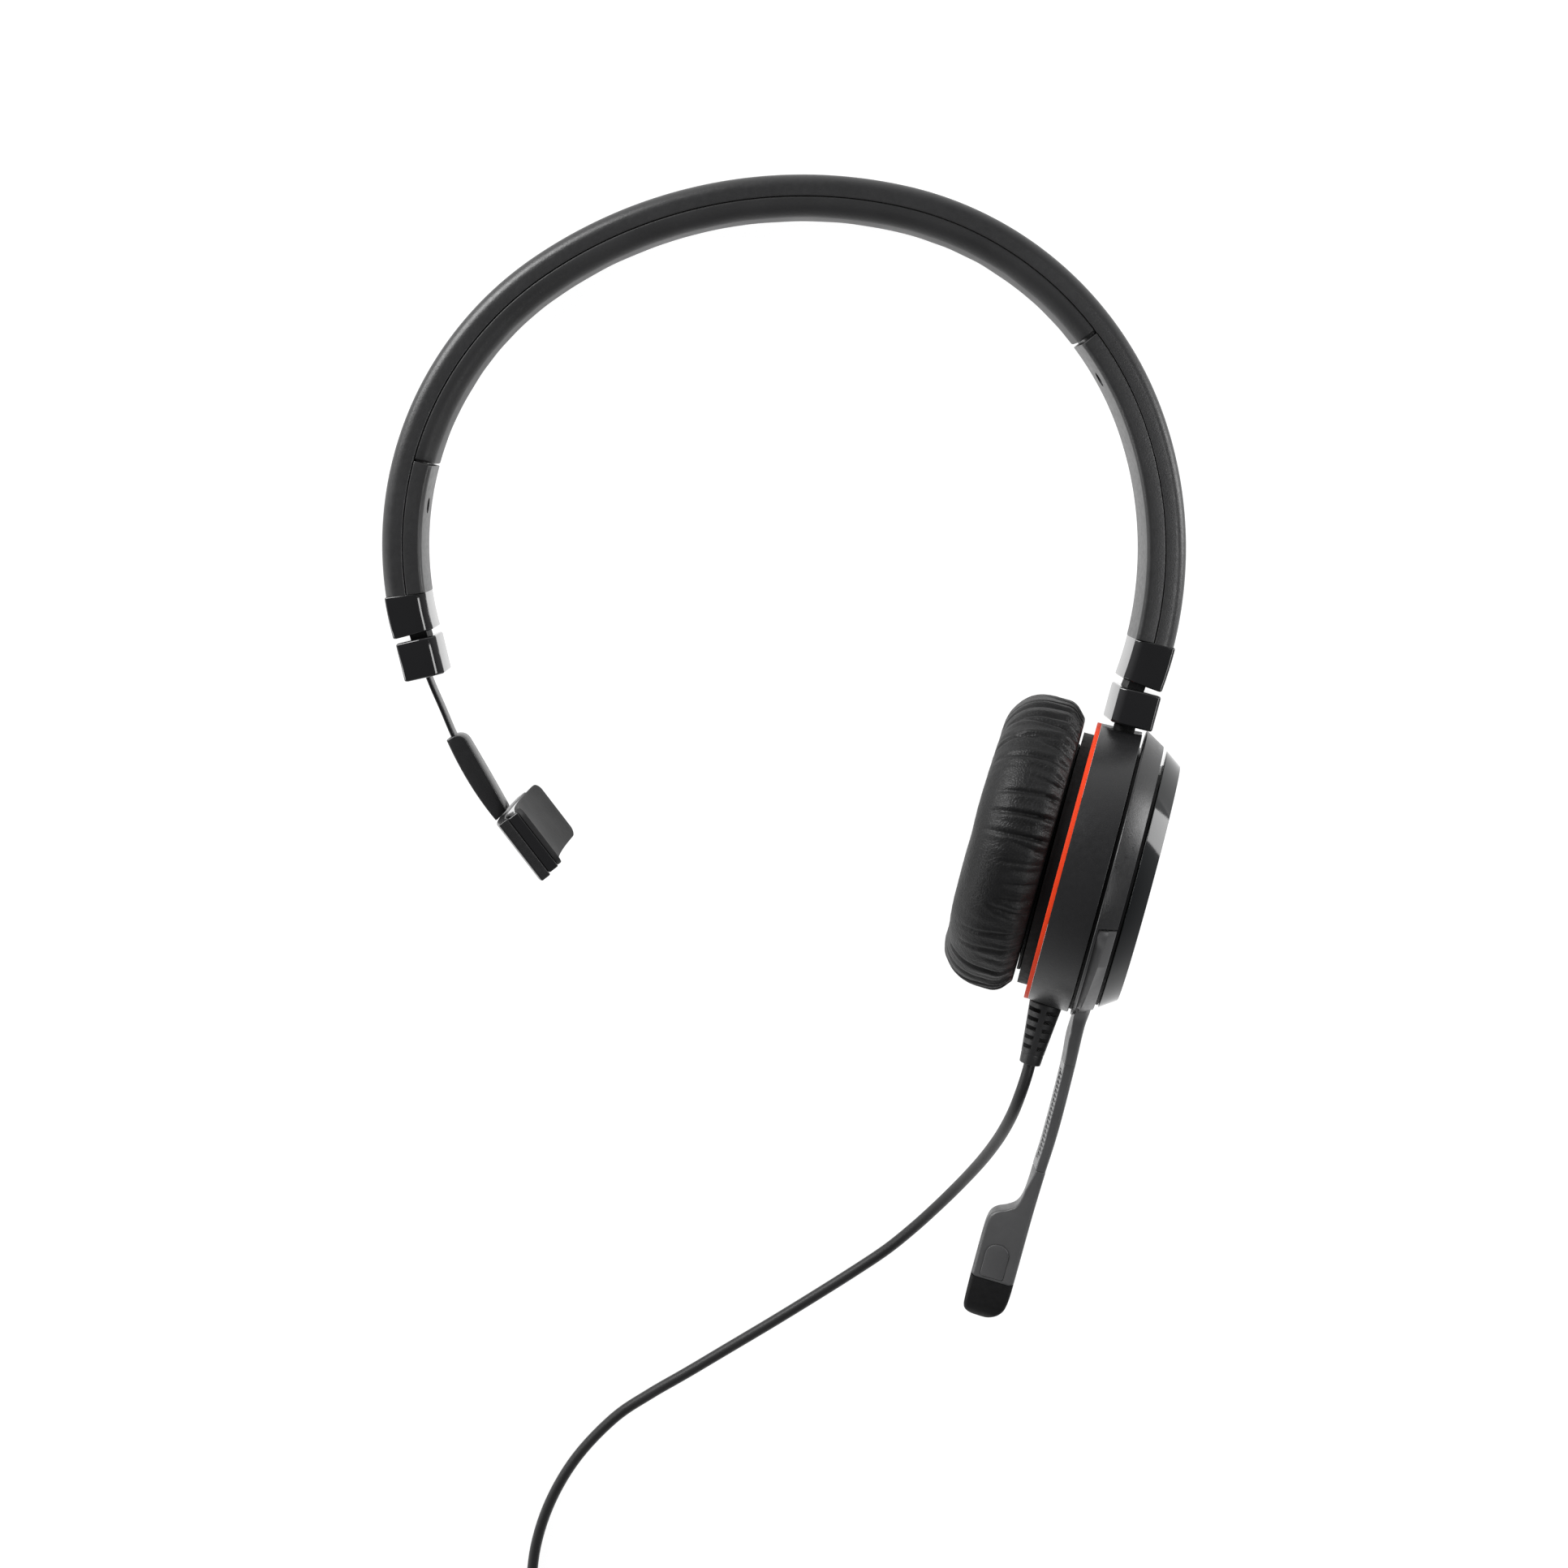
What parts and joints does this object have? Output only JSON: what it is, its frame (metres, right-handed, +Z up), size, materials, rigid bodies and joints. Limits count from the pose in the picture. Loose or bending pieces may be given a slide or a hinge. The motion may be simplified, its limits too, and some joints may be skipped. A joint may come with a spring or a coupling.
{
  "type": "office headset",
  "caption": "Mono over-the-head headset with padded band, temple support, swivelling cushioned ear cup, bendable boom microphone and plug lead.",
  "frame": {"origin": "centre of the footprint, at the surface that the headset lies on, measured without the free cord", "axes": "+X across the head from the temple support to the ear cup, +Y towards the crown of the band, +Z up from the surface: the headset lies on its side"},
  "size_m": [0.1686, 0.3781, 0.0666],
  "materials": {
    "band_plastic": "fine-grained moulded nylon",
    "gloss_plastic": "polished moulded plastic",
    "cup_plastic": "satin moulded plastic",
    "cap_plastic": "polished shallow cap",
    "cap_disc": "satin centre disc",
    "accent": "red ring, satin",
    "boom_plastic": "satin grey plastic",
    "boom_rubber": "flexible beaded sleeve",
    "mic_tip": "dark satin cap",
    "arm_plastic": "satin moulded plastic",
    "band_pad": "soft matte padding skin",
    "cushion": "gathered leatherette over foam",
    "temple_pad": "soft grey rubber",
    "spring_steel": "plain spring steel",
    "dark_strip": "black coated spring steel",
    "inner_plastic": "plain internal moulding",
    "magnet": "nickelled magnet",
    "copper": "wound copper wire",
    "board": "circuit board with parts",
    "cord": "smooth cord jacket",
    "relief": "slotted strain relief",
    "tie": "woven strap",
    "contact": "plated plug contacts",
    "insulator": "black insulating collars"
  },
  "bodies": {
    "headband": {"band_shell": "band_plastic", "band_spring": "spring_steel", "band_liner": "inner_plastic", "band_pad": "band_pad", "left_end_cover": "band_plastic", "right_end_cover": "band_plastic", "cover_screws": "spring_steel", "left_end_collar": "gloss_plastic", "right_end_collar": "gloss_plastic", "detent_springs": "spring_steel"},
    "temple_slider": {"left_slider_block": "gloss_plastic", "left_slider_tongue": "inner_plastic", "temple_strip": "dark_strip", "temple_arm": "arm_plastic", "temple_foot": "arm_plastic", "temple_pad_carrier": "gloss_plastic", "temple_pad": "temple_pad"},
    "cup_slider": {"right_slider_block": "gloss_plastic", "right_slider_tongue": "inner_plastic", "swivel_pin": "spring_steel"},
    "cup_yoke": {"swivel_block": "inner_plastic", "tilt_pins": "spring_steel"},
    "ear_cup": {"cup_housing": "cup_plastic", "accent_ring": "accent", "speaker_baffle": "inner_plastic", "speaker_frame": "spring_steel", "speaker_magnet": "magnet", "speaker_diaphragm": "inner_plastic", "voice_coil": "copper", "speaker_grille": "inner_plastic", "cushion_ring": "inner_plastic", "ear_cushion": "cushion", "boom_hub": "inner_plastic", "housing_screws": "spring_steel", "rear_cap": "cap_plastic", "rear_cap_disc": "cap_disc", "circuit_board": "board", "boom_stop_pin": "spring_steel", "strain_relief": "relief", "cord_lead": "cord", "cord_coil": "cord", "cord_tail": "cord", "coil_tie": "tie", "plug_body": "cord", "plug_relief": "relief", "plug_contacts": "contact", "plug_insulators": "insulator"},
    "boom": {"boom_ring": "cup_plastic", "boom_arm": "boom_plastic", "boom_flex_upper": "boom_rubber"},
    "boom_tip": {"boom_flex_lower": "boom_rubber", "mic_housing": "boom_plastic", "mic_capsule": "spring_steel", "mic_tip": "mic_tip", "mic_port_panel": "boom_plastic"}
  },
  "joints": [
    {"name": "temple_slide", "type": "hinge", "parent": "headband", "child": "temple_slider", "pos_m": [-0.01213, 0.04387, 0.01949], "axis": [-0.062, 0.1606, 0.9851], "range_deg": [0, 17]},
    {"name": "cup_slide", "type": "hinge", "parent": "headband", "child": "cup_slider", "pos_m": [-0.00069, 0.04286, 0.02037], "axis": [0.062, -0.1606, -0.9851], "range_deg": [0, 17.5]},
    {"name": "cup_swivel", "type": "hinge", "parent": "cup_slider", "child": "cup_yoke", "pos_m": [0.06311, -0.02268, 0.03507], "axis": [0.2546, 0.9569, -0.14], "range_deg": [-81.1, 98.9]},
    {"name": "cup_tilt", "type": "hinge", "parent": "cup_yoke", "child": "ear_cup", "pos_m": [0.06932, 0.00067, 0.03165], "axis": [-0.2105, 0.1961, 0.9577], "range_deg": [-3.5, 3.5]},
    {"name": "boom_swing", "type": "hinge", "parent": "ear_cup", "child": "boom", "pos_m": [0.06953, -0.02413, 0.03678], "axis": [0.9439, -0.2144, 0.2514], "range_deg": [-135, 135]},
    {"name": "boom_bend", "type": "hinge", "parent": "boom", "child": "boom_tip", "pos_m": [0.056, -0.07575, 0.04437], "axis": [-0.2105, 0.1961, 0.9577], "range_deg": [-20, 15]}
  ]
}
